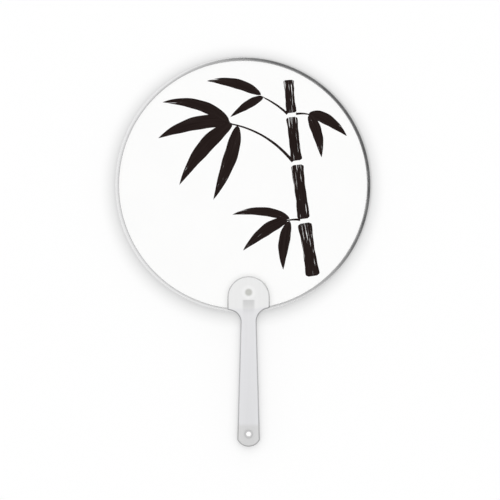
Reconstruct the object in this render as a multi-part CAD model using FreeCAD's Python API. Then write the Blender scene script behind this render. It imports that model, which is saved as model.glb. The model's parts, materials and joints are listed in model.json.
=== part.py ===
# Round uchiwa hand fan, lying on its back, in millimetres.
# A paper blade on thin ribs inside a plastic hoop, with its foot clamped in a plastic handle of two shells.
# X runs to the right seen from the printed front, Y runs up the handle to the blade, Z points out of the front.
# The origin lies under the middle of the fan's box, on the plane that the back of the handle rests on.
import FreeCAD, Part
import math
import os

# Overall sizes
DISC_DIAMETER = 241.2        # across the rim hoop
OVERALL_LENGTH = 367.6       # from the top of the hoop to the end of the grip
HANDLE_OFFSET = 5.3          # axis of the handle, to the right of the disc's centre

# Rim hoop
RIM_WIDTH = 3.3              # bead, seen from the front
RIM_THICKNESS = 2.2          # bead, front to back
RIM_LEDGE = 2.8              # ledge that reaches in between the sheets

# Blade
SHEET_THICKNESS = 0.3
RIB_THICKNESS = 1.0
RIB_WIDTH = 1.4
RIB_COUNT = 25
RIB_PITCH = 6.0              # degrees from one rib to the next
RIB_APEX_HEIGHT = 7.0        # point that the ribs fan out from, above the foot of the disc

# Head of the handle
HANDLE_THICKNESS = 4.8
HEAD_WIDTH = 40.0            # also the diameter of its half-round top
HEAD_OVERLAP = 34.5          # reach over the face, from the foot of the disc
HEAD_CORNER_RADIUS = 1.8     # lower corners, at the rim
SHOULDER_RISE = 1.6          # from the outer edge of the hoop in to the lower corners of the head
SHOULDER_INSET = 2.3         # from the side of the head to where the shoulder leaves the rim
STUD_INSET = 15.2            # centre of the stud, below the top of the head
STUD_DIAMETER = 6.6
STUD_SOCKET_DEPTH = 0.9      # in each shell

# Grip
NECK_WIDTH = 14.8            # between the shoulders, level with the foot of the disc
GRIP_END_WIDTH = 21.1        # level with the hanging hole
END_LAND = 1.45              # by this much the end's radius passes half of the grip's width
END_CORNER_RADIUS = 2.0
EDGE_ROUND = 1.5             # outer edges of both shells

# Core bar
CORE_WIDTH = 10.8
CORE_STUD_GAP = 3.9          # from the stud down to the top of the core
CORE_END_GAP = 5.0           # from the eyelet up to the lower end of the core

# Hanging eyelet
HOLE_DIAMETER = 4.5
EYELET_WALL = 0.95
EYELET_FLANGE_DIAMETER = 8.3
EYELET_FLANGE_THICKNESS = 0.6
EYELET_MOUTH_ROUND = 0.4

# Clearances
SHEET_CLEARANCE = 0.1        # edge of the sheets to the bead, the stud and the core
POCKET_CLEARANCE = 0.15      # edge of the sheets to the pocket in the shells
FACE_CLEARANCE = 0.1         # faces of the sheets, the core and the stud to the floors of their seats
SEAT_CLEARANCE = 0.1         # core, stud and eyelet in their seats
RIB_CLEARANCE = 0.2          # ends of the ribs to the ledge, the stud and the core
RIB_FOOT_CLEARANCE = 0.15    # between the feet of neighbouring ribs

# Places worked out from the sizes
DISC_RADIUS = DISC_DIAMETER / 2
DISC_Y = OVERALL_LENGTH / 2 - DISC_RADIUS
FOOT_Y = DISC_Y - DISC_RADIUS
END_Y = -OVERALL_LENGTH / 2
MIDDLE_Z = HANDLE_THICKNESS / 2

BLADE_THICKNESS = RIB_THICKNESS + 2 * SHEET_THICKNESS
SHEET_RADIUS = DISC_RADIUS - RIM_WIDTH - SHEET_CLEARANCE
LEDGE_RADIUS = DISC_RADIUS - RIM_WIDTH - RIM_LEDGE

SHOULDER_REACH = DISC_RADIUS - SHOULDER_RISE
HEAD_TOP_Y = FOOT_Y + HEAD_OVERLAP
HEAD_CENTRE_Y = HEAD_TOP_Y - HEAD_WIDTH / 2
STUD_Y = HEAD_TOP_Y - STUD_INSET
STUD_RADIUS = STUD_DIAMETER / 2

END_RADIUS = GRIP_END_WIDTH / 2 + END_LAND
HOLE_Y = END_Y + END_RADIUS
BARREL_DIAMETER = HOLE_DIAMETER + 2 * EYELET_WALL

CORE_TOP_Y = STUD_Y - STUD_RADIUS - CORE_STUD_GAP
CORE_END_Y = HOLE_Y + EYELET_FLANGE_DIAMETER / 2 + CORE_END_GAP
APEX_Y = FOOT_Y + RIB_APEX_HEIGHT

OVAL_PULL = 0.5523           # share of the way to its corner at which a cubic curve follows an oval

DISC_CENTRE = FreeCAD.Vector(0, DISC_Y, 0)
HOLE_CENTRE = FreeCAD.Vector(HANDLE_OFFSET, HOLE_Y, 0)


def cylinder(radius, low, high, x, y):
    return Part.makeCylinder(radius, high - low, FreeCAD.Vector(x, y, low))


def bar(width, y_low, y_high, low, high):
    """A box on the axis of the handle."""
    corner = FreeCAD.Vector(HANDLE_OFFSET - width / 2, y_low, low)
    return Part.makeBox(width, y_high - y_low, high - low, corner)


def line(start, end):
    return Part.LineSegment(start, end).toShape()


def arc(start, end, centre):
    """The shorter arc from start to end round centre."""
    radius = (start - centre).Length
    middle = (start + end) * 0.5 - centre
    middle.normalize()
    return Part.Arc(start, centre + middle * radius, end).toShape()


def arc_through(start, middle, end):
    return Part.Arc(start, middle, end).toShape()


def quarter_oval(start, corner, end):
    """A quarter of an oval from start to end that bulges towards the corner."""
    curve = Part.BezierCurve()
    curve.setPoles([start, start + (corner - start) * OVAL_PULL, end + (corner - end) * OVAL_PULL, end])
    return curve.toShape()


def point_on_circle(centre, radius, towards):
    direction = towards - centre
    direction.normalize()
    return centre + direction * radius


def distance_along(start, direction, centre, radius):
    """How far along a line from start its last crossing of a circle lies."""
    offset = start - centre
    half = offset.dot(direction)
    return -half + math.sqrt(half * half - offset.dot(offset) + radius * radius)


def handle_side(side):
    """Edges of one side of the handle's outline, from the head down; side is 1 on the right, -1 on the left."""
    neck = FreeCAD.Vector(HANDLE_OFFSET + side * NECK_WIDTH / 2, FOOT_Y, 0)
    grip_end = FreeCAD.Vector(HANDLE_OFFSET + side * GRIP_END_WIDTH / 2, HOLE_Y, 0)
    along = grip_end - neck
    along.normalize()
    outward = FreeCAD.Vector(-along.y, along.x, 0) * side

    # Lower corner of the head, rounded between its straight side and the rim
    side_x = HANDLE_OFFSET + side * HEAD_WIDTH / 2
    corner_x = side_x - side * HEAD_CORNER_RADIUS
    corner_reach = SHOULDER_REACH - HEAD_CORNER_RADIUS
    corner_centre = FreeCAD.Vector(corner_x, DISC_Y - math.sqrt(corner_reach ** 2 - corner_x ** 2), 0)
    head_side = FreeCAD.Vector(side_x, HEAD_CENTRE_Y, 0)
    corner_start = FreeCAD.Vector(side_x, corner_centre.y, 0)
    corner_end = point_on_circle(DISC_CENTRE, SHOULDER_REACH, corner_centre)

    # Hollow shoulder, tangent to the rim and to the side of the grip
    leave_x = side_x - side * SHOULDER_INSET
    shoulder_start = FreeCAD.Vector(leave_x, DISC_Y - math.sqrt(SHOULDER_REACH ** 2 - leave_x ** 2), 0)
    radial = (shoulder_start - DISC_CENTRE) * (1 / SHOULDER_REACH)
    slant = outward.dot(radial)
    shoulder_radius = (outward.dot(DISC_CENTRE - neck) + SHOULDER_REACH * slant) / (1 - slant)
    shoulder_centre = DISC_CENTRE + radial * (SHOULDER_REACH + shoulder_radius)
    shoulder_end = shoulder_centre - outward * shoulder_radius

    # Corner where the side of the grip meets the round end
    inner_start = neck - outward * END_CORNER_RADIUS
    reach = distance_along(inner_start, along, HOLE_CENTRE, END_RADIUS - END_CORNER_RADIUS)
    end_corner_centre = inner_start + along * reach
    end_corner_start = end_corner_centre + outward * END_CORNER_RADIUS
    end_corner_end = point_on_circle(HOLE_CENTRE, END_RADIUS, end_corner_centre)

    edges = [
        line(head_side, corner_start),
        arc(corner_start, corner_end, corner_centre),
        arc(corner_end, shoulder_start, DISC_CENTRE),
        arc(shoulder_start, shoulder_end, shoulder_centre),
        line(shoulder_end, end_corner_start),
        arc(end_corner_start, end_corner_end, end_corner_centre),
    ]
    return head_side, edges, end_corner_end


def handle_outline():
    """Face of the whole handle, in the plane z = 0."""
    right_top, right_edges, right_end = handle_side(1)
    left_top, left_edges, left_end = handle_side(-1)
    head = arc_through(right_top, FreeCAD.Vector(HANDLE_OFFSET, HEAD_TOP_Y, 0), left_top)
    end = arc_through(left_end, FreeCAD.Vector(HANDLE_OFFSET, END_Y, 0), right_end)
    edges = [head] + left_edges + [end] + right_edges[::-1]
    return Part.Face(Part.Wire(Part.__sortEdges__(edges)))


def shell_blank():
    """Front half of the handle before its seats are cut, with its outer edge rounded."""
    outline = handle_outline()
    outline.translate(FreeCAD.Vector(0, 0, MIDDLE_Z))
    blank = outline.extrude(FreeCAD.Vector(0, 0, HANDLE_THICKNESS - MIDDLE_Z))
    outer_edges = [
        edge for edge in blank.Edges
        if abs(edge.BoundBox.ZMin - HANDLE_THICKNESS) < EDGE_ROUND / 2
    ]
    return blank.makeFillet(EDGE_ROUND, outer_edges)


def front_shell():
    """Front shell with its pocket for the blade and seats for the core, the stud and the eyelet."""
    floor_z = MIDDLE_Z + BLADE_THICKNESS / 2 + FACE_CLEARANCE
    flange_z = HANDLE_THICKNESS - EYELET_FLANGE_THICKNESS
    blade_pocket = cylinder(SHEET_RADIUS + POCKET_CLEARANCE, MIDDLE_Z, floor_z, 0, DISC_Y)
    core_seat = bar(
        CORE_WIDTH + 2 * SEAT_CLEARANCE,
        CORE_END_Y - SEAT_CLEARANCE,
        CORE_TOP_Y + SEAT_CLEARANCE,
        MIDDLE_Z,
        floor_z,
    )
    stud_socket = cylinder(
        STUD_RADIUS + SEAT_CLEARANCE, MIDDLE_Z, floor_z + STUD_SOCKET_DEPTH, HANDLE_OFFSET, STUD_Y
    )
    barrel_hole = cylinder(
        BARREL_DIAMETER / 2 + SEAT_CLEARANCE, MIDDLE_Z, HANDLE_THICKNESS, HANDLE_OFFSET, HOLE_Y
    )
    flange_seat = cylinder(
        EYELET_FLANGE_DIAMETER / 2 + SEAT_CLEARANCE, flange_z, HANDLE_THICKNESS, HANDLE_OFFSET, HOLE_Y
    )
    shell = shell_blank()
    for seat in (blade_pocket, core_seat, stud_socket, barrel_hole, flange_seat):
        shell = shell.cut(seat)
    return shell


def back_shell():
    return front_shell().mirror(FreeCAD.Vector(0, 0, MIDDLE_Z), FreeCAD.Vector(0, 0, 1))


def core():
    """Flat bar between the shells, keyed into the foot of the blade."""
    half = BLADE_THICKNESS / 2
    return bar(CORE_WIDTH, CORE_END_Y, CORE_TOP_Y, MIDDLE_Z - half, MIDDLE_Z + half)


def stud():
    half = BLADE_THICKNESS / 2 + STUD_SOCKET_DEPTH
    return cylinder(STUD_RADIUS, MIDDLE_Z - half, MIDDLE_Z + half, HANDLE_OFFSET, STUD_Y)


def eyelet():
    """Tube through both shells, with a flange sunk into each face."""
    flange = EYELET_FLANGE_DIAMETER / 2
    low_flange = cylinder(flange, 0, EYELET_FLANGE_THICKNESS, HANDLE_OFFSET, HOLE_Y)
    high_flange = cylinder(
        flange, HANDLE_THICKNESS - EYELET_FLANGE_THICKNESS, HANDLE_THICKNESS, HANDLE_OFFSET, HOLE_Y
    )
    barrel = cylinder(BARREL_DIAMETER / 2, 0, HANDLE_THICKNESS, HANDLE_OFFSET, HOLE_Y)
    bore = cylinder(HOLE_DIAMETER / 2, 0, HANDLE_THICKNESS, HANDLE_OFFSET, HOLE_Y)
    tube = barrel.fuse([low_flange, high_flange]).cut(bore).removeSplitter()
    mouths = [
        edge for edge in tube.Edges
        if isinstance(edge.Curve, Part.Circle)
        and abs(edge.Curve.Radius - HOLE_DIAMETER / 2) < EYELET_WALL / 2
    ]
    return tube.makeFillet(EYELET_MOUTH_ROUND, mouths)


def hoop():
    """Oval bead that falls away outwards, with a ledge, turned about the disc's axis and cut away for the handle."""
    half = RIM_THICKNESS / 2
    ledge = RIB_THICKNESS / 2
    inner = DISC_RADIUS - RIM_WIDTH
    nose = FreeCAD.Vector(DISC_RADIUS, 0, 0)
    corners = [
        FreeCAD.Vector(inner, 0, -half),
        FreeCAD.Vector(inner, 0, -ledge),
        FreeCAD.Vector(LEDGE_RADIUS, 0, -ledge),
        FreeCAD.Vector(LEDGE_RADIUS, 0, ledge),
        FreeCAD.Vector(inner, 0, ledge),
        FreeCAD.Vector(inner, 0, half),
    ]
    edges = [line(start, end) for start, end in zip(corners, corners[1:])]
    edges.append(quarter_oval(corners[-1], FreeCAD.Vector(DISC_RADIUS, 0, half), nose))
    edges.append(quarter_oval(nose, FreeCAD.Vector(DISC_RADIUS, 0, -half), corners[0]))
    section = Part.Face(Part.Wire(edges))
    ring = section.revolve(FreeCAD.Vector(), FreeCAD.Vector(0, 0, 1), 360)
    ring.translate(FreeCAD.Vector(0, DISC_Y, MIDDLE_Z))
    handle_room = handle_outline().extrude(FreeCAD.Vector(0, 0, HANDLE_THICKNESS))
    return ring.cut(handle_room)


def sheet(low):
    """One face of the blade, pierced for the stud and notched for the core."""
    high = low + SHEET_THICKNESS
    disc = cylinder(SHEET_RADIUS, low, high, 0, DISC_Y)
    stud_hole = cylinder(STUD_RADIUS + SHEET_CLEARANCE, low, high, HANDLE_OFFSET, STUD_Y)
    core_notch = bar(
        CORE_WIDTH + 2 * SHEET_CLEARANCE, FOOT_Y, CORE_TOP_Y + SHEET_CLEARANCE, low, high
    )
    return disc.cut(stud_hole).cut(core_notch)


def rib_start(angle):
    """How far from the apex a rib begins: clear of its neighbours, of the core and of the stud."""
    side_by_side = (RIB_WIDTH + RIB_FOOT_CLEARANCE) / (2 * math.tan(math.radians(RIB_PITCH) / 2))
    core_corner = math.hypot(CORE_WIDTH / 2, max(CORE_TOP_Y - APEX_Y, 0)) + RIB_CLEARANCE
    start = max(side_by_side, core_corner)
    stud_reach = STUD_Y - APEX_Y
    if abs(stud_reach * math.sin(angle)) < STUD_RADIUS + RIB_WIDTH / 2 + RIB_CLEARANCE:
        start = max(start, stud_reach + STUD_RADIUS + RIB_CLEARANCE)
    return start


def rib(index):
    """One thin strip from the head to the ledge of the hoop; index counts from the left."""
    degrees = (index - (RIB_COUNT - 1) / 2) * RIB_PITCH
    low = MIDDLE_Z - RIB_THICKNESS / 2
    start = rib_start(math.radians(degrees))
    strip = Part.makeBox(
        RIB_WIDTH, DISC_DIAMETER, RIB_THICKNESS, FreeCAD.Vector(-RIB_WIDTH / 2, start, low)
    )
    strip.rotate(FreeCAD.Vector(), FreeCAD.Vector(0, 0, 1), -degrees)
    strip.translate(FreeCAD.Vector(HANDLE_OFFSET, APEX_Y, 0))
    inside = cylinder(LEDGE_RADIUS - RIB_CLEARANCE, low, low + RIB_THICKNESS, 0, DISC_Y)
    return strip.common(inside)


def parts():
    """Every piece of the fan by name."""
    pieces = {
        "handle_front_shell": front_shell(),
        "handle_back_shell": back_shell(),
        "handle_core": core(),
        "head_stud": stud(),
        "hanging_eyelet": eyelet(),
        "rim_hoop": hoop(),
        "front_sheet": sheet(MIDDLE_Z + RIB_THICKNESS / 2),
        "back_sheet": sheet(MIDDLE_Z - BLADE_THICKNESS / 2),
    }
    for index in range(RIB_COUNT):
        pieces[f"rib_{index + 1:02d}"] = rib(index)
    return pieces


os.makedirs("parts", exist_ok=True)
for name, shape in parts().items():
    shape.exportStep(f"parts/{name}.step")
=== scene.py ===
import json
import math
from collections import namedtuple

import bmesh
import bpy
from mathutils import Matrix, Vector
from mathutils.geometry import delaunay_2d_cdt


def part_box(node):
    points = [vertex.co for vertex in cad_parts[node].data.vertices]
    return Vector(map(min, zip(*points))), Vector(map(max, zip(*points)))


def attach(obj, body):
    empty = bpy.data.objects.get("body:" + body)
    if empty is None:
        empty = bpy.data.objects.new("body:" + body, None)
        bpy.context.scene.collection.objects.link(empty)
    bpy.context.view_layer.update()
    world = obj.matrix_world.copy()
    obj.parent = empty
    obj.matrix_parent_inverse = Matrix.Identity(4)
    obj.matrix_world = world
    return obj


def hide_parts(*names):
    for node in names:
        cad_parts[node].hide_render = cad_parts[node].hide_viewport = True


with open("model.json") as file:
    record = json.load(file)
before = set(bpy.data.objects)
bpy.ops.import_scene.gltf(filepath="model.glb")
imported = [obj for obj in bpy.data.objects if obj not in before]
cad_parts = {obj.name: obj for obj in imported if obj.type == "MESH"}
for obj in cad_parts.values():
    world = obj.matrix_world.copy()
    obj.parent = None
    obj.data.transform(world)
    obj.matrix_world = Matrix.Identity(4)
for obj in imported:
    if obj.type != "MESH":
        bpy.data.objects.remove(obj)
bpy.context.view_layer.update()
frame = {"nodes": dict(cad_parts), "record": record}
nodes = frame["nodes"]
mounts = {mount["name"]: mount for mount in frame["record"]["mounts"]}
MM = 0.001
FLAT = (1, 1, 0)               # times a place, drops its height
UPRIGHT = (0, 0, 1)            # times a place, keeps only its height
FAR = 1.0                      # further than any point of the fan

# Picture: where the disc lies in the 500 by 500 frame, in pixels, and the lens, in millimetres
PICTURE_SIDE = 500
DISC_PIXEL_X = 243.0
DISC_PIXEL_Y = 184.9
DISC_PIXEL_RADIUS = 127.84
LENS = 300.0
SENSOR = 36.0

# Places taken from the frame
hoop_low, hoop_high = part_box("rim_hoop")
sheet_low, sheet_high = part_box("front_sheet")
stud_low, stud_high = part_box("head_stud")
core_low, core_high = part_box("handle_core")
eyelet_low, eyelet_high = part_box("hanging_eyelet")
shell_low, shell_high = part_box("handle_front_shell")
DISC_RADIUS = (hoop_high.x - hoop_low.x) / 2
DISC_CENTRE = Vector((0, hoop_high.y - DISC_RADIUS, 0))
SHEET_RADIUS = (sheet_high.x - sheet_low.x) / 2
SHEET_CLEARANCE = 0.1 * MM     # from the sheet to the rim, the stud and the core
STUD_CENTRE = (stud_low + stud_high) / 2
STUD_RADIUS = (stud_high.x - stud_low.x) / 2
HANDLE_X = STUD_CENTRE.x
CORE_HALF = (core_high.x - core_low.x) / 2
HEAD_RADIUS = (shell_high.x - shell_low.x) / 2
HEAD_CENTRE = Vector((HANDLE_X, shell_high.y - HEAD_RADIUS, 0))
HOLE_CENTRE = (eyelet_low + eyelet_high) / 2
HOLE_RADIUS = mounts["hanging_hole"]["dims"]["r_mm"] * MM

# Light on the fan, in a dome of radius 1. A band goes from a light's edge to its full strength.
LIGHT_LEVEL = 0.641            # gives a level white surface in the open a brightness of 1
KEY_ANGLE = 90.0               # degrees from +X to +Y, where the soft key light stands
KEY_HEIGHT = 40.0              # degrees above the floor
KEY_BAND = (0.77, 0.985)       # cosines of the angle from its middle
KEY_SHARE = 0.8                # what it adds to the even dome
OVERHEAD_BAND = (0.80, 0.95)   # heights
OVERHEAD_SHARE = 1.5
HORIZON_BAND = (0.35, 0.05)    # heights
HORIZON_SHARE = 2.0
HORIZON_LEAN = 0.6             # by this share the low light is stronger from the top of the picture

# The room that glossy surfaces reflect, where a level of 1 is white
DARK_ANGLE = 27.0              # degrees from +X to +Y, the middle of the room's dark side
DARK_HEIGHT = 31.0             # degrees above the floor
DARK_BAND = (0.463, 0.626)     # cosines of the angle from its middle
DARK_LEVEL = 0.08
LOW_BAND = (1.0, 0.0)          # heights over which the dark side lightens towards the floor
LOW_SHARE = 0.45               # share of white mixed into it at the floor
ZENITH_BAND = (0.88, 0.99)     # heights over which the room dims overhead
ZENITH_LEVEL = 0.86
BELOW_BAND = (0.5, 0.85)       # cosines of the angle from -Y over which the room dims past the handle's end
BELOW_LEVEL = 0.75

# Floor and the shades on it. A softness is half a soft edge's width, and a depth is a share of the light.
FLOOR_SIDE = 24.0
FLOOR_GAP = 1.5 * MM           # from the floor to the back of the handle
FLOOR_BOUNCE = 0.8             # albedo of the floor for the light that it throws back at the fan
FLOOR_GLOW = 0.45              # share of plain white that the camera sees in the floor
SPOT_MARGIN = 0.1 * MM         # by which the painted white glow under the hanging hole is larger than the hole
SPOT_SOFTNESS = 0.2 * MM
SHADE_REACH = 16 * MM          # how far past the rim the blade's wide shade reaches
SHADE_INSET = 6 * MM           # how far inside the rim it is full
SHADE_DEPTH = 0.38
SHADE_SHIFT = Vector((-0.4, -1.8, 0)) * MM     # from the blade's centre to the wide shade's
NARROW_SHIFT = 1.2 * MM        # how far towards the room's dark side the blade's narrow shade lies
NARROW_SOFTNESS = 1.2 * MM
NARROW_DEPTH = 0.5
CONTACT_REACH = 10 * MM        # how far from the fan its close shade reaches
CONTACT_DEPTH = 0.35

# Colours, linear, and greys
WHITE = (1, 1, 1, 1)
PAPER = (0.99, 0.99, 0.986, 1)
INK = (0.0125, 0.0052, 0.0040, 1)
DRY_INK = (0.022, 0.0135, 0.012, 1)
# The handle's plastic holds painted light and shade from behind it: lighter over the paper, darker past the
# core and over the stud, and darker down the grip
LIT_HEAD_PLASTIC = (0.845, 0.845, 0.845, 1)        # painted light: lighter over the white paper
GRIP_PLASTIC = (0.79, 0.79, 0.806, 1)          # at the top of the grip
LOW_GRIP_PLASTIC = (0.755, 0.755, 0.77, 1)     # at the foot of the core
SHADED_END_PLASTIC = (0.675, 0.675, 0.675, 1)         # painted shade: darker past the core
STUD_SHADOW = (0.535, 0.538, 0.512, 1)         # over the stud
DARK_SILVER = (0.78, 0.78, 0.785, 1)
LIGHT_SILVER = (0.86, 0.86, 0.86, 1)
DARK_BAMBOO = (0.50, 0.34, 0.15, 1)
LIGHT_BAMBOO = (0.72, 0.56, 0.32, 1)
CORE_GREY = 0.6
STUD_GREY = 0.5
EYELET_GREY = 0.57

# Finishes. A noise's scale is per metre; a pair of tones or roughnesses is for its low and high values.
NOISE_VALUES = (0.3, 0.7)      # most of a noise lies between these
PAPER_FIBRES = {"scale": 900.0, "detail": 4.0, "roughness": 0.65}
PAPER_CLOUDS = {"scale": 25.0}
FIBRE_SHARE = 0.5              # of the paper's change of tone
PAPER_TONE = (0.985, 1.0)
PAPER_ROUGHNESS = 0.75
PAPER_SPECULAR = 0.3
PAPER_BUMP = (0.25, 0.03 * MM)                 # strength and depth
INK_STREAKS = {"detail": 3.0, "roughness": 0.6}
INK_STRETCH = (0.035, 1.1, 1.0)                # scale per millimetre along and across a stroke
INK_BAND = (0.35, 0.7)         # streaks from wet ink to dry ink
BARE_BAND = (1.0, 1.06)        # streaks plus dryness, from full ink to bare paper
INK_ROUGHNESS = (0.5, 0.7)
INK_SPECULAR = 0.1
RIM_CLOUDS = {"scale": 60.0, "detail": 3.0}
RIM_ROUGHNESS = (0.22, 0.3)
RIM_WALL = (-0.5, -0.2)        # cosines of a normal to the outward direction, from the inner wall to the bead
FLOW_STRETCH = (350, 20, 350)  # scale per metre of the faint flow marks along the handle
FLOW_TONE = (0.985, 1.005)
HANDLE_GRAIN = {"scale": 4000.0, "detail": 3.0}
HANDLE_ROUGHNESS = (0.28, 0.38)
HANDLE_SPECULAR = 0.4
HANDLE_BUMP = (0.05, 0.02 * MM)
MOULD_GRAIN = {"scale": 2000.0, "detail": 3.0}
MOULD_DARKEST = 0.95           # share of a moulding's grey at its grain's low values
MOULD_ROUGHNESS = (0.35, 0.5)
EYELET_TONE = (0.97, 1.0)
EYELET_ROUGHNESS = (0.3, 0.4)
BAMBOO_FIBRES = {"detail": 4.0}
BAMBOO_STRETCH = (3000, 100, 3000)             # scale per metre
BAMBOO_ROUGHNESS = 0.6
BAMBOO_BUMP = (0.3, 0.05 * MM)

# Painted shade and light in the paper and the plastic, and the parting line. A level multiplies the colour.
HEAD_SHADE_REACH = 5.5 * MM    # how far past the head its shade on the paper reaches
HEAD_SHADE_INSET = 1 * MM      # how far under the head it is full
HEAD_SHADE_LEVEL = 0.91
CORE_SIDE_SOFTNESS = 1.3 * MM
CORE_END_SOFTNESS = 0.6 * MM
CORE_TOP_DEPTH = 0.235         # share of the light that the core takes at its top end
CORE_LOW_DEPTH = 0.02          # and further down
CORE_FADE = 16 * MM            # length over which it changes
GRIP_TOP = -60 * MM            # Y where the grip begins to darken
GRIP_FOOT = -160 * MM          # Y where it is as dark as at the foot of the core
FOOT_ABOVE = 1.5 * MM          # the end's colour begins this far above the core's foot
FOOT_BELOW = 2.8 * MM          # and is full this far below it
PAPER_SOFTNESS = 1.5 * MM
STUD_SOFTNESS = 1.2 * MM
# Painted highlight in a ring round the stud
STUD_HIGHLIGHT_RADIUS = 6.5 * MM
STUD_HIGHLIGHT_SOFTNESS = 1.5 * MM
STUD_HIGHLIGHT_LEVEL = 1.05
HANDLE_EDGE = (0.998, 0.93)    # heights of the normal, from the handle's faces to its rounded edges
EDGE_LEVEL = 0.59              # painted shade at the handle's edges
SHOULDER_LEVEL = 0.44          # painted shade, towards which they darken by the rim
SHOULDER_BAND = (15 * MM, -3 * MM)             # distances from the rim, where 0 is nearly the darkest
PARTING_HALF = 0.09 * MM
PARTING_SOFTNESS = 0.03 * MM
PARTING_LEVEL = 0.7
EYELET_EDGE = (0.9, 0.2)       # heights of the normal, from the eyelet's flange to its bore
# painted light in the eyelet's bore
BORE_LEVEL = 1.55

# Print, in millimetres from the disc's centre, and the shapes of its brush strokes
Stroke = namedtuple("Stroke", "start turn end width shape")
STALK = [
    Stroke((66, -86), (62, -60), (58, -36), 12.5, "stalk"),
    Stroke((57.5, -32), (54, -6), (51, 19), 11.5, "stalk"),
    Stroke((50.5, 23), (48, 44), (46, 64), 10.5, "stalk"),
    Stroke((45.7, 68), (44, 84), (43, 99), 9.5, "stalk"),
]
TWIGS = [
    Stroke((47, 22), (22, 52), (-14, 58), 2.8, "twig"),
    Stroke((42, 67), (30, 78), (16, 84), 2.4, "twig"),
    Stroke((54, -33), (48, -32), (40, -34), 2.4, "twig"),
    Stroke((50, 67), (58, 68), (64, 66), 2.2, "twig"),
]
LEAVES = [
    Stroke((-12, 59), (-46, 64), (-80, 44), 13.0, "leaf"),
    Stroke((-10, 58), (-38, 42), (-60, 0), 14.0, "leaf"),
    Stroke((-5, 56), (-10, 24), (-28, -14), 13.0, "leaf"),
    Stroke((-13, 60), (-40, 82), (-76, 78), 10.5, "leaf"),
    Stroke((17, 85), (-6, 100), (-34, 98), 9.5, "leaf"),
    Stroke((19, 83), (6, 78), (-12, 64), 8.0, "leaf"),
    Stroke((62, 67), (80, 66), (98, 46), 10.5, "leaf"),
    Stroke((62, 66), (72, 52), (74, 26), 10.0, "leaf"),
    Stroke((42, -33), (22, -38), (0, -62), 11.0, "leaf"),
    Stroke((44, -34), (36, -54), (38, -80), 10.5, "leaf"),
    Stroke((44, -32), (20, -20), (-10, -28), 8.5, "leaf"),
]
STEPS = 36                     # points along each side of a stroke
EDGE_STEPS = 360               # points round the sheet's edge
HOLE_STEPS = 48                # points round the hole for the stud
RIM_GROOVE = 0.2               # by which the sheet's edge is drawn in, to show a groove by the rim
LEAF_RISE = 0.6                # powers of the shares of a leaf before and after a point, for its width there
LEAF_FALL = 0.9
LEAF_PEAK = 0.364              # the largest that their product gets
TWIG_TAPER = 0.55              # share of its width that a twig loses
STALK_END = 0.05               # share of a stalk's length that each rounded end takes
STALK_BLUNT = 0.35             # square of the share of the width at its very end
STALK_WAIST = 0.92             # share of the width in its middle
STALK_FLARE = 0.16             # what the ends add to that
STALK_DRYNESS = (0.36, 0.06)   # at the start of a stalk, and what it gains
LEAF_DRYNESS = (0.26, 0.14)    # the same for a leaf or a twig
WOBBLE = 0.05                  # share of its half width by which a stroke's edge is unsteady
SLOW_WAVE = 9                  # radians along a stroke
QUICK_WAVE = 23
PHASE_STEP = 1.7               # radians from one stroke's waves to the next one's
STREAK_STEP = 100              # from one stroke's streaks to the next one's
HOLE_LOOP = 1                  # the stud's hole among the outlines that cut the sheet
INSIDE_TRIANGLES = 1           # makes the cut give the triangles inside the outlines
INK_INDEX = 1                  # the ink among the sheet's materials
MERGE_DISTANCE = 1e-4          # between points that the cut takes as one


# Node helpers

def set_socket(tree, socket, value):
    """Links a socket to another node's output, or sets its value."""
    if isinstance(value, bpy.types.NodeSocket):
        tree.links.new(value, socket)
    else:
        socket.default_value = value


def add_node(tree, kind, inputs=None, **settings):
    """Adds a node. An input is a value or another node's output; settings are the node's own properties."""
    node = tree.nodes.new(kind)
    for name, value in settings.items():
        setattr(node, name, value)
    for name, value in (inputs or {}).items():
        set_socket(tree, node.inputs[name], value)
    return node


def math_node(tree, operation, *values):
    return add_node(tree, "ShaderNodeMath", dict(enumerate(values)), operation=operation).outputs[0]


def product(tree, first, *others):
    for other in others:
        first = math_node(tree, "MULTIPLY", first, other)
    return first


def vector_node(tree, operation, *values, output="Vector"):
    node = add_node(tree, "ShaderNodeVectorMath", dict(enumerate(values)), operation=operation)
    return node.outputs[output]


def dot(tree, first, second):
    return vector_node(tree, "DOT_PRODUCT", first, second, output="Value")


def length(tree, vector):
    return vector_node(tree, "LENGTH", vector, output="Value")


def split(tree, vector):
    """A vector's X, Y and Z."""
    parts = add_node(tree, "ShaderNodeSeparateXYZ", {0: vector}).outputs
    return parts["X"], parts["Y"], parts["Z"]


def ramp(tree, value, start, end, low=0.0, high=1.0):
    """A smooth step from low at start to high at end."""
    inputs = {"Value": value, "From Min": start, "From Max": end, "To Min": low, "To Max": high}
    return add_node(tree, "ShaderNodeMapRange", inputs, interpolation_type="SMOOTHSTEP").outputs[0]


def inside(tree, value, edge, softness, outer=0.0, inner=1.0):
    """A smooth step from outer to inner where a value falls below an edge."""
    return ramp(tree, value, edge + softness, edge - softness, outer, inner)


def spread(tree, texture, low, high):
    """Takes a noise from its usual range to the range from low to high."""
    return ramp(tree, texture, *NOISE_VALUES, low, high)


def mix_value(tree, factor, first, second):
    return add_node(tree, "ShaderNodeMix", {"Factor": factor, "A": first, "B": second}).outputs[0]


def mix_colour(tree, factor, first, second, blend="MIX"):
    node = add_node(tree, "ShaderNodeMix", data_type="RGBA", blend_type=blend)
    values = {"Factor_Float": factor, "A_Color": first, "B_Color": second}
    for socket in node.inputs:
        if socket.identifier in values:
            set_socket(tree, socket, values[socket.identifier])
    return next(socket for socket in node.outputs if socket.identifier == "Result_Color")


def grey_colour(tree, level):
    return add_node(tree, "ShaderNodeCombineColor", {"Red": level, "Green": level, "Blue": level}).outputs[0]


def shaded(tree, colour, level):
    """A colour times a level."""
    return mix_colour(tree, 1.0, colour, grey_colour(tree, level), "MULTIPLY")


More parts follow.
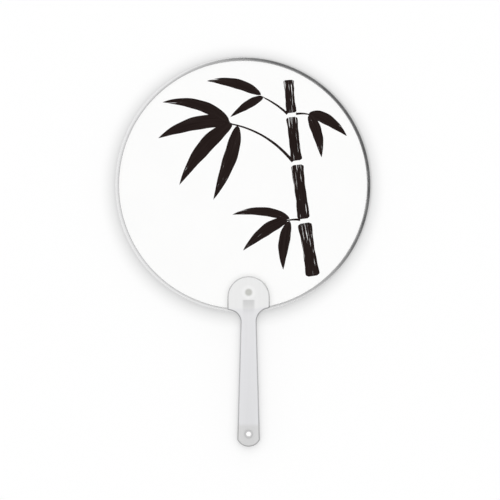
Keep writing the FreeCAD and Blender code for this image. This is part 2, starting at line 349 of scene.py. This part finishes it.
def object_place(tree):
    return add_node(tree, "ShaderNodeTexCoord").outputs["Object"]


def own_normal(tree):
    return add_node(tree, "ShaderNodeTexCoord").outputs["Normal"]


def distance_from(tree, place, centre):
    """Distance from an upright axis through a centre."""
    flat = vector_node(tree, "MULTIPLY", place, FLAT)
    return vector_node(tree, "DISTANCE", flat, (centre.x, centre.y, 0), output="Value")


def noise(tree, place, scale=1.0, detail=2.0, roughness=0.5):
    """A cloudy texture between about 0 and 1."""
    inputs = {"Vector": place, "Scale": scale, "Detail": detail, "Roughness": roughness}
    return add_node(tree, "ShaderNodeTexNoise", inputs).outputs["Fac"]


def bump(tree, height, strength, distance):
    inputs = {"Height": height, "Strength": strength, "Distance": distance}
    return add_node(tree, "ShaderNodeBump", inputs).outputs["Normal"]


def new_material(name):
    material = bpy.data.materials.new(name)
    material.use_nodes = True
    return material, material.node_tree, material.node_tree.nodes["Principled BSDF"]


def set_shader(tree, shader, **values):
    """Sets or links the shader's inputs; a name's underscores stand for spaces."""
    for name, value in values.items():
        set_socket(tree, shader.inputs[name.replace("_", " ")], value)


# Stage

def towards(degrees, height):
    """Direction from its angle to +X and its height above the floor, both in degrees."""
    turn, rise = math.radians(degrees), math.radians(height)
    return (math.cos(turn) * math.cos(rise), math.sin(turn) * math.cos(rise), math.sin(rise))


def dome_light(tree, direction, height):
    """What lights the fan: an even dome with a soft key light, a light overhead and a low light all round."""
    key = dot(tree, direction, towards(KEY_ANGLE, KEY_HEIGHT))
    light = ramp(tree, key, *KEY_BAND, 1.0, 1.0 + KEY_SHARE)
    light = math_node(tree, "ADD", light, ramp(tree, height, *OVERHEAD_BAND, 0.0, OVERHEAD_SHARE))
    lean = dot(tree, direction, (0, HORIZON_LEAN, 0))
    horizon = ramp(tree, height, *HORIZON_BAND, 0.0, HORIZON_SHARE)
    light = math_node(tree, "ADD", light, math_node(tree, "MULTIPLY_ADD", horizon, lean, horizon))
    return math_node(tree, "MULTIPLY", light, LIGHT_LEVEL)


def reflected_room(tree, direction, height):
    """What glossy surfaces reflect: a white room with a dark side, dimmer overhead and past the handle."""
    dark = dot(tree, direction, towards(DARK_ANGLE, DARK_HEIGHT))
    room = ramp(tree, dark, *DARK_BAND, 1.0, DARK_LEVEL)
    room = mix_value(tree, ramp(tree, height, *LOW_BAND, 0.0, LOW_SHARE), room, 1.0)
    overhead = ramp(tree, height, *ZENITH_BAND, 1.0, ZENITH_LEVEL)
    below = ramp(tree, dot(tree, direction, (0, -1, 0)), *BELOW_BAND, 1.0, BELOW_LEVEL)
    return product(tree, room, overhead, below)


def make_world():
    """A soft white dome; reflections see it as a room, and the camera sees plain white."""
    world = bpy.data.worlds.new("studio_dome")
    world.use_nodes = True
    bpy.context.scene.world = world
    tree = world.node_tree
    direction = add_node(tree, "ShaderNodeTexCoord").outputs["Generated"]
    height = split(tree, direction)[2]
    rays = add_node(tree, "ShaderNodeLightPath").outputs
    light = dome_light(tree, direction, height)
    seen = mix_value(tree, rays["Is Glossy Ray"], light, reflected_room(tree, direction, height))
    plain = math_node(tree, "MAXIMUM", rays["Is Camera Ray"], rays["Is Transmission Ray"])
    background = tree.nodes["Background"].inputs
    set_socket(tree, background["Strength"], mix_value(tree, plain, seen, 1.0))
    set_socket(tree, background["Color"], WHITE)


def blade_shade(tree, place):
    """Wide soft shade of the blade on the floor, which fades out past the rim."""
    from_centre = distance_from(tree, place, DISC_CENTRE + SHADE_SHIFT)
    outer = DISC_RADIUS + SHADE_REACH
    return ramp(tree, from_centre, outer, DISC_RADIUS - SHADE_INSET, 1.0, 1 - SHADE_DEPTH)


def narrow_shade(tree, place):
    """Narrow shade of the blade on the floor, along the rim on the room's dark side."""
    centre = DISC_CENTRE + Vector(towards(DARK_ANGLE, 0)) * NARROW_SHIFT
    from_centre = distance_from(tree, place, centre)
    return inside(tree, from_centre, DISC_RADIUS, NARROW_SOFTNESS, 1.0, 1 - NARROW_DEPTH)


def contact_shade(tree):
    """Close shade along the edges of the fan."""
    open_share = add_node(tree, "ShaderNodeAmbientOcclusion", {"Distance": CONTACT_REACH}).outputs["AO"]
    return math_node(tree, "MULTIPLY_ADD", open_share, CONTACT_DEPTH, 1 - CONTACT_DEPTH)


def lift_to_white(tree, shader, place, rays):
    """The camera sees the floor lifted towards white, with a painted white glow under the hole; reflections
    see white.
    """
    from_hole = distance_from(tree, place, HOLE_CENTRE)
    glow = inside(tree, from_hole, HOLE_RADIUS + SPOT_MARGIN, SPOT_SOFTNESS, FLOOR_GLOW, 1.0)
    share = math_node(tree, "MULTIPLY", glow, rays["Is Camera Ray"])
    share = math_node(tree, "MAXIMUM", share, rays["Is Glossy Ray"])
    white = add_node(tree, "ShaderNodeEmission", {"Strength": 1.0})
    mixed = add_node(tree, "ShaderNodeMixShader", {0: share, 1: shader.outputs[0], 2: white.outputs[0]})
    set_socket(tree, tree.nodes["Material Output"].inputs["Surface"], mixed.outputs[0])


def make_floor():
    """White floor under the fan, with the fan's soft shades on it."""
    bpy.ops.mesh.primitive_plane_add(size=FLOOR_SIDE, location=(0, 0, -FLOOR_GAP))
    floor = bpy.context.object
    floor.name = "studio_floor"
    material, tree, shader = new_material("floor_white")
    place = object_place(tree)
    rays = add_node(tree, "ShaderNodeLightPath").outputs
    albedo = mix_value(tree, rays["Is Camera Ray"], FLOOR_BOUNCE, 1.0)
    level = product(tree, albedo, blade_shade(tree, place), narrow_shade(tree, place), contact_shade(tree))
    set_shader(tree, shader, Base_Color=grey_colour(tree, level), Roughness=1.0, Specular_IOR_Level=0.0)
    lift_to_white(tree, shader, place, rays)
    floor.data.materials.append(material)


def make_camera():
    """Camera straight above the fan, with the disc where the picture has it."""
    metres_per_pixel = DISC_RADIUS / DISC_PIXEL_RADIUS
    middle = PICTURE_SIDE / 2
    data = bpy.data.cameras.new("picture_camera")
    data.lens = LENS
    data.sensor_width = SENSOR
    camera = bpy.data.objects.new("picture_camera", data)
    bpy.context.scene.collection.objects.link(camera)
    distance = PICTURE_SIDE * metres_per_pixel * LENS / SENSOR
    camera.location = (
        DISC_CENTRE.x + (middle - DISC_PIXEL_X) * metres_per_pixel,
        DISC_CENTRE.y - (middle - DISC_PIXEL_Y) * metres_per_pixel,
        distance + hoop_high.z,
    )
    bpy.context.scene.camera = camera


# Materials of the blade

def head_shade(tree, place):
    """Soft shade on the paper beside the head, by the distance from its centre, or its axis lower down."""
    offset = vector_node(tree, "MULTIPLY", vector_node(tree, "SUBTRACT", place, HEAD_CENTRE), FLAT)
    from_head = length(tree, vector_node(tree, "MAXIMUM", offset, (-FAR, 0, 0)))
    outer = HEAD_RADIUS + HEAD_SHADE_REACH
    return ramp(tree, from_head, outer, HEAD_RADIUS - HEAD_SHADE_INSET, 1.0, HEAD_SHADE_LEVEL)


def paper_finish(tree):
    """Colour and bump of white paper with faint fibres, a slow change of tone and a shade beside the head."""
    place = object_place(tree)
    fibres = noise(tree, place, **PAPER_FIBRES)
    tone = mix_value(tree, FIBRE_SHARE, noise(tree, place, **PAPER_CLOUDS), fibres)
    level = product(tree, spread(tree, tone, *PAPER_TONE), head_shade(tree, place))
    return shaded(tree, PAPER, level), bump(tree, fibres, *PAPER_BUMP)


def paper_material(name):
    """Plain white paper."""
    material, tree, shader = new_material(name)
    colour, relief = paper_finish(tree)
    set_shader(tree, shader, Base_Color=colour, Normal=relief)
    set_shader(tree, shader, Roughness=PAPER_ROUGHNESS, Specular_IOR_Level=PAPER_SPECULAR)
    return material


def ink_material():
    """Brush ink with streaks along each stroke that let the paper through where the brush ran dry."""
    material, tree, shader = new_material("brush_ink")
    along_across = add_node(tree, "ShaderNodeUVMap", uv_map="brush").outputs["UV"]
    dryness = split(tree, add_node(tree, "ShaderNodeUVMap", uv_map="dryness").outputs["UV"])[0]
    streaks = noise(tree, vector_node(tree, "MULTIPLY", along_across, INK_STRETCH), **INK_STREAKS)
    bare = ramp(tree, math_node(tree, "ADD", streaks, dryness), *BARE_BAND)
    paper, relief = paper_finish(tree)
    dark = mix_colour(tree, ramp(tree, streaks, *INK_BAND), INK, DRY_INK)
    set_shader(tree, shader, Base_Color=mix_colour(tree, bare, dark, paper), Normal=relief)
    roughness = spread(tree, streaks, *INK_ROUGHNESS)
    set_shader(tree, shader, Roughness=roughness, Specular_IOR_Level=INK_SPECULAR)
    return material


def oval_normal(tree):
    """Normal of the rim's oval bead, worked out from its section; the bead's inner wall keeps its own."""
    inner = SHEET_RADIUS + SHEET_CLEARANCE
    width = DISC_RADIUS - inner
    half = (hoop_high.z - hoop_low.z) / 2
    middle = Vector((DISC_CENTRE.x, DISC_CENTRE.y, hoop_low.z + half))
    offset = vector_node(tree, "SUBTRACT", object_place(tree), middle)
    flat = vector_node(tree, "MULTIPLY", offset, FLAT)
    outward = vector_node(tree, "NORMALIZE", flat)
    reach = math_node(tree, "SUBTRACT", length(tree, flat), inner)
    lean = math_node(tree, "MULTIPLY", math_node(tree, "MAXIMUM", reach, 0.0), (half / width) ** 2)
    upwards = vector_node(tree, "MULTIPLY", offset, UPRIGHT)
    oval = vector_node(tree, "NORMALIZE", vector_node(tree, "MULTIPLY_ADD", outward, lean, upwards))
    own = own_normal(tree)
    bead_share = ramp(tree, dot(tree, own, outward), *RIM_WALL)
    turn = vector_node(tree, "SUBTRACT", oval, own)
    return vector_node(tree, "MULTIPLY_ADD", turn, bead_share, own)


def rim_material():
    """Silver-toned hoop with a slow change of tone and gloss."""
    material, tree, shader = new_material("silver_rim")
    clouds = noise(tree, object_place(tree), **RIM_CLOUDS)
    colour = mix_colour(tree, clouds, DARK_SILVER, LIGHT_SILVER)
    set_shader(tree, shader, Base_Color=colour, Metallic=1.0)
    set_shader(tree, shader, Roughness=spread(tree, clouds, *RIM_ROUGHNESS), Normal=oval_normal(tree))
    return material


def bamboo_material():
    """Split bamboo with fibres along the blade."""
    material, tree, shader = new_material("split_bamboo")
    stretched = vector_node(tree, "MULTIPLY", object_place(tree), BAMBOO_STRETCH)
    fibres = noise(tree, stretched, **BAMBOO_FIBRES)
    colour = mix_colour(tree, fibres, DARK_BAMBOO, LIGHT_BAMBOO)
    relief = bump(tree, fibres, *BAMBOO_BUMP)
    set_shader(tree, shader, Base_Color=colour, Roughness=BAMBOO_ROUGHNESS, Normal=relief)
    return material


# Materials of the handle

def core_shade(tree, x, y):
    """Level of the plastic over the core, which darkens it most at the core's top end."""
    off_axis = math_node(tree, "ABSOLUTE", math_node(tree, "SUBTRACT", x, HANDLE_X))
    across = inside(tree, off_axis, CORE_HALF, CORE_SIDE_SOFTNESS)
    end = inside(tree, y, core_high.y, CORE_END_SOFTNESS)
    fade = ramp(tree, y, core_high.y, core_high.y - CORE_FADE, CORE_TOP_DEPTH, CORE_LOW_DEPTH)
    return math_node(tree, "SUBTRACT", 1.0, product(tree, across, end, fade))


def handle_colour(tree, place, y):
    """Milky plastic with painted light and shade: lightest over the paper, darker down the grip, past the
    core, over the stud.
    """
    colour = mix_colour(tree, ramp(tree, y, GRIP_TOP, GRIP_FOOT), GRIP_PLASTIC, LOW_GRIP_PLASTIC)
    past_core = ramp(tree, y, core_low.y + FOOT_ABOVE, core_low.y - FOOT_BELOW)
    colour = mix_colour(tree, past_core, colour, SHADED_END_PLASTIC)
    over_paper = inside(tree, distance_from(tree, place, DISC_CENTRE), SHEET_RADIUS, PAPER_SOFTNESS)
    colour = mix_colour(tree, over_paper, colour, LIT_HEAD_PLASTIC)
    over_stud = inside(tree, distance_from(tree, place, STUD_CENTRE), STUD_RADIUS, STUD_SOFTNESS)
    return mix_colour(tree, over_stud, colour, STUD_SHADOW)


def stud_highlight(tree, place):
    """Painted highlight: a lighter ring in the plastic round the stud."""
    from_stud = distance_from(tree, place, STUD_CENTRE)
    return inside(tree, from_stud, STUD_HIGHLIGHT_RADIUS, STUD_HIGHLIGHT_SOFTNESS, 1.0, STUD_HIGHLIGHT_LEVEL)


def flow_marks(tree, place):
    """Faint streaks along the handle."""
    streaks = noise(tree, vector_node(tree, "MULTIPLY", place, FLOW_STRETCH))
    return spread(tree, streaks, *FLOW_TONE)


def edge_light_and_shade(tree, band, level):
    """Painted edge shade where a moulding turns away from its flat faces; above a level of 1 it is painted
    light.
    """
    height = math_node(tree, "ABSOLUTE", split(tree, own_normal(tree))[2])
    return ramp(tree, height, *band, 1.0, level)


def shoulder_edge(tree, place):
    """Level of the handle's painted edge shade: darkest where its shoulders meet the rim."""
    past_rim = math_node(tree, "SUBTRACT", distance_from(tree, place, DISC_CENTRE), DISC_RADIUS)
    from_rim = math_node(tree, "ABSOLUTE", past_rim)
    return ramp(tree, from_rim, *SHOULDER_BAND, EDGE_LEVEL, SHOULDER_LEVEL)


def parting_line(tree, z):
    """Thin darker line where the two shells meet."""
    from_middle = math_node(tree, "ABSOLUTE", math_node(tree, "SUBTRACT", z, shell_low.z))
    return inside(tree, from_middle, PARTING_HALF, PARTING_SOFTNESS, 1.0, PARTING_LEVEL)


def handle_material():
    """Opaque milky plastic with painted light and shade: what lies inside and behind it, its edges, a
    highlight by the stud.
    """
    material, tree, shader = new_material("milky_plastic")
    place = object_place(tree)
    x, y, z = split(tree, place)
    level = product(
        tree,
        core_shade(tree, x, y),
        stud_highlight(tree, place),
        flow_marks(tree, place),
        edge_light_and_shade(tree, HANDLE_EDGE, shoulder_edge(tree, place)),
        parting_line(tree, z),
    )
    grain = noise(tree, place, **HANDLE_GRAIN)
    set_shader(tree, shader, Base_Color=shaded(tree, handle_colour(tree, place, y), level))
    roughness = spread(tree, grain, *HANDLE_ROUGHNESS)
    set_shader(tree, shader, Roughness=roughness, Specular_IOR_Level=HANDLE_SPECULAR)
    set_shader(tree, shader, Normal=bump(tree, grain, *HANDLE_BUMP))
    return material


def eyelet_material():
    """Grey ring whose bore has painted light, which makes it lighter than its flange."""
    material, tree, shader = new_material("eyelet_plastic")
    grain = noise(tree, object_place(tree), **MOULD_GRAIN)
    bore = edge_light_and_shade(tree, EYELET_EDGE, BORE_LEVEL)
    level = product(tree, spread(tree, grain, *EYELET_TONE), bore, EYELET_GREY)
    set_shader(tree, shader, Base_Color=grey_colour(tree, level))
    set_shader(tree, shader, Roughness=spread(tree, grain, *EYELET_ROUGHNESS))
    return material


def moulded_material(name, grey):
    """Plain grey moulding with a fine grain, for the pieces inside the handle."""
    material, tree, shader = new_material(name)
    grain = noise(tree, object_place(tree), **MOULD_GRAIN)
    level = spread(tree, grain, grey * MOULD_DARKEST, grey)
    set_shader(tree, shader, Base_Color=grey_colour(tree, level))
    set_shader(tree, shader, Roughness=spread(tree, grain, *MOULD_ROUGHNESS))
    return material


def dress_solids():
    """Gives each solid that stays as it is its material."""
    plastic = handle_material()
    bamboo = bamboo_material()
    materials = {
        "handle_front_shell": plastic,
        "handle_back_shell": plastic,
        "handle_core": moulded_material("core_plastic", CORE_GREY),
        "head_stud": moulded_material("stud_plastic", STUD_GREY),
        "hanging_eyelet": eyelet_material(),
        "rim_hoop": rim_material(),
        "back_sheet": paper_material("back_paper"),
    }
    materials.update({name: bamboo for name in nodes if name.startswith("rib_")})
    for name, material in materials.items():
        nodes[name].data.materials[0] = material


# Printed sheet

def stroke_centre(stroke, t):
    """Point of a stroke's middle line and the direction across it."""
    start, turn, end = Vector(stroke.start), Vector(stroke.turn), Vector(stroke.end)
    point = start * (1 - t) ** 2 + turn * (2 * t * (1 - t)) + end * t ** 2
    along = ((turn - start) * (1 - t) + (end - turn) * t).normalized()
    return point, Vector((-along.y, along.x))


def stroke_half_width(stroke, t):
    """Half the width of a stroke at a share of its length."""
    if stroke.shape == "leaf":
        share = t ** LEAF_RISE * (1 - t) ** LEAF_FALL / LEAF_PEAK
    elif stroke.shape == "twig":
        share = 1 - TWIG_TAPER * t
    else:
        ends = min(1.0, math.sqrt(min(t, 1 - t) / STALK_END + STALK_BLUNT))
        share = ends * (STALK_WAIST + STALK_FLARE * (2 * t - 1) ** 2)
    return stroke.width / 2 * share


def stroke_dryness(stroke, t):
    """How much paper the brush leaves bare: more towards the end of a stroke."""
    if stroke.shape == "stalk":
        start, gain = STALK_DRYNESS
        return start + gain * t
    start, gain = LEAF_DRYNESS
    return start + gain * t ** 2


def stroke_outline(stroke, phase):
    """Closed outline of a stroke with a slightly unsteady edge."""
    sides = {1: [], -1: []}
    for step in range(STEPS + 1):
        t = step / STEPS
        point, across = stroke_centre(stroke, t)
        half = stroke_half_width(stroke, t)
        for side in sides:
            slow = math.sin(SLOW_WAVE * t + phase * side)
            quick = math.sin(QUICK_WAVE * t - 2 * phase * side)
            sides[side].append(point + across * side * half * (1 + WOBBLE * (slow + quick) / 2))
    return sides[-1] + sides[1][::-1]


def sheet_edge():
    """The sheet's edge from one side of the core's notch round to the other, with the notch."""
    notch_half = (CORE_HALF + SHEET_CLEARANCE) / MM
    radius = SHEET_RADIUS / MM - RIM_GROOVE
    right = HANDLE_X / MM + notch_half
    left = HANDLE_X / MM - notch_half
    start = math.asin(right / radius) - math.pi / 2
    end = math.asin(left / radius) + math.pi * 3 / 2
    turns = [start + (end - start) * step / EDGE_STEPS for step in range(EDGE_STEPS + 1)]
    top = (core_high.y - DISC_CENTRE.y + SHEET_CLEARANCE) / MM
    edge = [Vector((radius * math.cos(turn), radius * math.sin(turn))) for turn in turns]
    return edge + [Vector((left, top)), Vector((right, top))]


def stud_hole():
    """Outline of the sheet's hole for the stud."""
    centre = (STUD_CENTRE - DISC_CENTRE).xy / MM
    radius = (STUD_RADIUS + SHEET_CLEARANCE) / MM
    turns = [2 * math.pi * step / HOLE_STEPS for step in range(HOLE_STEPS)]
    return [centre + Vector((radius * math.cos(turn), radius * math.sin(turn))) for turn in turns]


def brush_place(stroke, point):
    """Where a point lies on a stroke: share of its length, and millimetres along and across it."""
    steps = [step / STEPS for step in range(STEPS + 1)]
    t = min(steps, key=lambda step: (stroke_centre(stroke, step)[0] - point).length)
    centre, across = stroke_centre(stroke, t)
    span = (Vector(stroke.end) - Vector(stroke.start)).length
    return t, t * span, (point - centre).dot(across)


def cut_sheet(strokes):
    """Triangles of the sheet's face, each with the stroke that it lies in or None, in millimetres."""
    loops = [sheet_edge(), stud_hole()]
    first_stroke = len(loops)
    loops += [stroke_outline(stroke, PHASE_STEP * number) for number, stroke in enumerate(strokes)]
    points = []
    faces = []
    for loop in loops:
        faces.append(list(range(len(points), len(points) + len(loop))))
        points += loop
    cut = delaunay_2d_cdt(points, [], faces, INSIDE_TRIANGLES, MERGE_DISTANCE)
    corners, _, triangles, _, _, sources = cut
    inked = []
    for triangle, source in zip(triangles, sources):
        if HOLE_LOOP in source:
            continue
        top = max(source)
        inked.append((triangle, strokes[top - first_stroke] if top >= first_stroke else None))
    return corners, inked


def border(triangles):
    """Edges with a triangle on one side only, in the triangles' own direction."""
    sides = {(triangle[turn - 1], triangle[turn]) for triangle, _ in triangles for turn in range(3)}
    return sorted(side for side in sides if side[::-1] not in sides)


def sheet_mesh():
    """The front sheet as one closed mesh: the inked strokes are faces of the second material."""
    strokes = STALK + TWIGS + LEAVES
    corners, triangles = cut_sheet(strokes)
    shape = bmesh.new()
    brush = shape.loops.layers.uv.new("brush")
    dryness = shape.loops.layers.uv.new("dryness")
    places = [corner * MM + DISC_CENTRE.xy for corner in corners]
    upper = [shape.verts.new((*place, sheet_high.z)) for place in places]
    lower = [shape.verts.new((*place, sheet_low.z)) for place in places]
    for triangle, stroke in triangles:
        front = shape.faces.new([upper[corner] for corner in triangle])
        shape.faces.new([lower[corner] for corner in reversed(triangle)])
        if stroke:
            front.material_index = INK_INDEX
            for loop, corner in zip(front.loops, triangle):
                share, along, across = brush_place(stroke, corners[corner])
                loop[brush].uv = (along + STREAK_STEP * strokes.index(stroke), across)
                loop[dryness].uv = (stroke_dryness(stroke, share), 0)
    for first, second in border(triangles):
        shape.faces.new([upper[second], upper[first], lower[first], lower[second]])
    mesh = bpy.data.meshes.new("printed_front_sheet")
    shape.to_mesh(mesh)
    shape.free()
    return mesh


def make_printed_sheet():
    """The printed front sheet, which stands in for the plain one."""
    mesh = sheet_mesh()
    mesh.materials.append(paper_material("front_paper"))
    mesh.materials.append(ink_material())
    piece = bpy.data.objects.new("printed_front_sheet", mesh)
    bpy.context.scene.collection.objects.link(piece)
    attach(piece, "root")
    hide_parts("front_sheet")


make_world()
make_floor()
make_camera()
make_printed_sheet()
dress_solids()

bpy.context.scene.view_settings.view_transform = "Standard"
